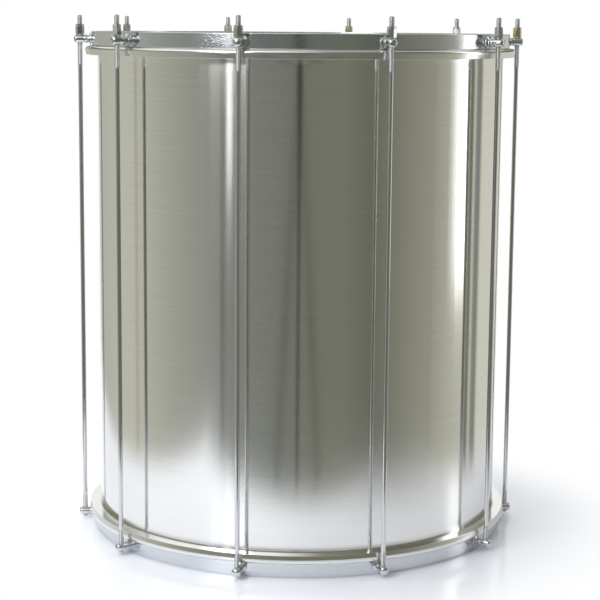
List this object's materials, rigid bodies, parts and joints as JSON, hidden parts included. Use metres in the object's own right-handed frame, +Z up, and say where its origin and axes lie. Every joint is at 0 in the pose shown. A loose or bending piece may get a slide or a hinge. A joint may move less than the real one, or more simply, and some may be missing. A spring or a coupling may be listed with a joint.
{
  "type": "surdo",
  "caption": "Deep upright bass drum: metal shell between two heads, flat counterhoops, and long outer tension rods with tuning nuts.",
  "frame": {"origin": "on the floor under the drum's axis, level with the lower counterhoop's bottom edge", "axes": "+Z up along the drum's axis to the playing head; -Y the front of the drum, +X to the right seen from the front"},
  "size_m": [0.566, 0.5386, 0.6455],
  "materials": {
    "polished_aluminium": "polished with a fine grain round the shell",
    "flesh_hoop_aluminium": "polished",
    "hoop_chrome": "chrome plated steel",
    "rod_chrome": "chrome plated steel",
    "lug_chrome": "chrome plated steel",
    "nut_chrome": "bright plated steel",
    "nut_yellow_zinc": "yellow plated",
    "drumhead_film": "milky film"
  },
  "bodies": {
    "drum": {"shell": "polished_aluminium", "top_head": "drumhead_film", "bottom_head": "drumhead_film", "top_flesh_hoop": "flesh_hoop_aluminium", "bottom_flesh_hoop": "flesh_hoop_aluminium", "bottom_counterhoop": "hoop_chrome", "tension_rod_01": "rod_chrome", "tension_rod_02": "rod_chrome", "tension_rod_03": "rod_chrome", "tension_rod_04": "rod_chrome", "tension_rod_05": "rod_chrome", "tension_rod_06": "rod_chrome", "tension_rod_07": "rod_chrome", "tension_rod_08": "rod_chrome", "tension_rod_09": "rod_chrome", "tension_rod_10": "rod_chrome", "lower_lug_01": "lug_chrome", "lower_lug_02": "lug_chrome", "lower_lug_03": "lug_chrome", "lower_lug_04": "lug_chrome", "lower_lug_05": "lug_chrome", "lower_lug_06": "lug_chrome", "lower_lug_07": "lug_chrome", "lower_lug_08": "lug_chrome", "lower_lug_09": "lug_chrome", "lower_lug_10": "lug_chrome"},
    "upper_hoop": {"top_counterhoop": "hoop_chrome", "upper_lug_01": "lug_chrome", "upper_lug_02": "lug_chrome", "upper_lug_03": "lug_chrome", "upper_lug_04": "lug_chrome", "upper_lug_05": "lug_chrome", "upper_lug_06": "lug_chrome", "upper_lug_07": "lug_chrome", "upper_lug_08": "lug_chrome", "upper_lug_09": "lug_chrome", "upper_lug_10": "lug_chrome"},
    "nut_01": {"tuning_nut_01": "nut_chrome"},
    "nut_02": {"tuning_nut_02": "nut_chrome"},
    "nut_03": {"tuning_nut_03": "nut_chrome"},
    "nut_04": {"tuning_nut_04": "nut_chrome"},
    "nut_05": {"tuning_nut_05": "nut_yellow_zinc"},
    "nut_06": {"tuning_nut_06": "nut_chrome"},
    "nut_07": {"tuning_nut_07": "nut_yellow_zinc"},
    "nut_08": {"tuning_nut_08": "nut_chrome"},
    "nut_09": {"tuning_nut_09": "nut_chrome"},
    "nut_10": {"tuning_nut_10": "nut_chrome"}
  },
  "joints": [
    {"name": "upper_hoop_slide", "type": "slide", "parent": "drum", "child": "upper_hoop", "axis": [0, 0, 1], "range_m": [0, 0.01]},
    {"name": "nut_turn_01", "type": "hinge", "parent": "upper_hoop", "child": "nut_01", "pos_m": [-0.22248, -0.16164, 0.6221], "axis": [0, 0, 1], "range_deg": [0, 3600.5]},
    {"name": "nut_turn_02", "type": "hinge", "parent": "upper_hoop", "child": "nut_02", "pos_m": [-0.08498, -0.26154, 0.6221], "axis": [0, 0, 1], "range_deg": [0, 3600.5]},
    {"name": "nut_turn_03", "type": "hinge", "parent": "upper_hoop", "child": "nut_03", "pos_m": [0.08498, -0.26154, 0.6221], "axis": [0, 0, 1], "range_deg": [0, 3600.5]},
    {"name": "nut_turn_04", "type": "hinge", "parent": "upper_hoop", "child": "nut_04", "pos_m": [0.22248, -0.16164, 0.6221], "axis": [0, 0, 1], "range_deg": [0, 3600.5]},
    {"name": "nut_turn_05", "type": "hinge", "parent": "upper_hoop", "child": "nut_05", "pos_m": [0.275, 0, 0.6221], "axis": [0, 0, 1], "range_deg": [0, 3600.5]},
    {"name": "nut_turn_06", "type": "hinge", "parent": "upper_hoop", "child": "nut_06", "pos_m": [0.22248, 0.16164, 0.6221], "axis": [0, 0, 1], "range_deg": [0, 3600.5]},
    {"name": "nut_turn_07", "type": "hinge", "parent": "upper_hoop", "child": "nut_07", "pos_m": [0.08498, 0.26154, 0.6221], "axis": [0, 0, 1], "range_deg": [0, 3600.5]},
    {"name": "nut_turn_08", "type": "hinge", "parent": "upper_hoop", "child": "nut_08", "pos_m": [-0.08498, 0.26154, 0.6221], "axis": [0, 0, 1], "range_deg": [0, 3600.5]},
    {"name": "nut_turn_09", "type": "hinge", "parent": "upper_hoop", "child": "nut_09", "pos_m": [-0.22248, 0.16164, 0.6221], "axis": [0, 0, 1], "range_deg": [0, 3600.5]},
    {"name": "nut_turn_10", "type": "hinge", "parent": "upper_hoop", "child": "nut_10", "pos_m": [-0.275, 0, 0.6221], "axis": [0, 0, 1], "range_deg": [0, 3600.5]}
  ],
  "couplings": [
    {"joint": "nut_turn_01", "follows": "upper_hoop_slide", "rad_per_m": 6283.2},
    {"joint": "nut_turn_02", "follows": "upper_hoop_slide", "rad_per_m": 6283.2},
    {"joint": "nut_turn_03", "follows": "upper_hoop_slide", "rad_per_m": 6283.2},
    {"joint": "nut_turn_04", "follows": "upper_hoop_slide", "rad_per_m": 6283.2},
    {"joint": "nut_turn_05", "follows": "upper_hoop_slide", "rad_per_m": 6283.2},
    {"joint": "nut_turn_06", "follows": "upper_hoop_slide", "rad_per_m": 6283.2},
    {"joint": "nut_turn_07", "follows": "upper_hoop_slide", "rad_per_m": 6283.2},
    {"joint": "nut_turn_08", "follows": "upper_hoop_slide", "rad_per_m": 6283.2},
    {"joint": "nut_turn_09", "follows": "upper_hoop_slide", "rad_per_m": 6283.2},
    {"joint": "nut_turn_10", "follows": "upper_hoop_slide", "rad_per_m": 6283.2}
  ]
}
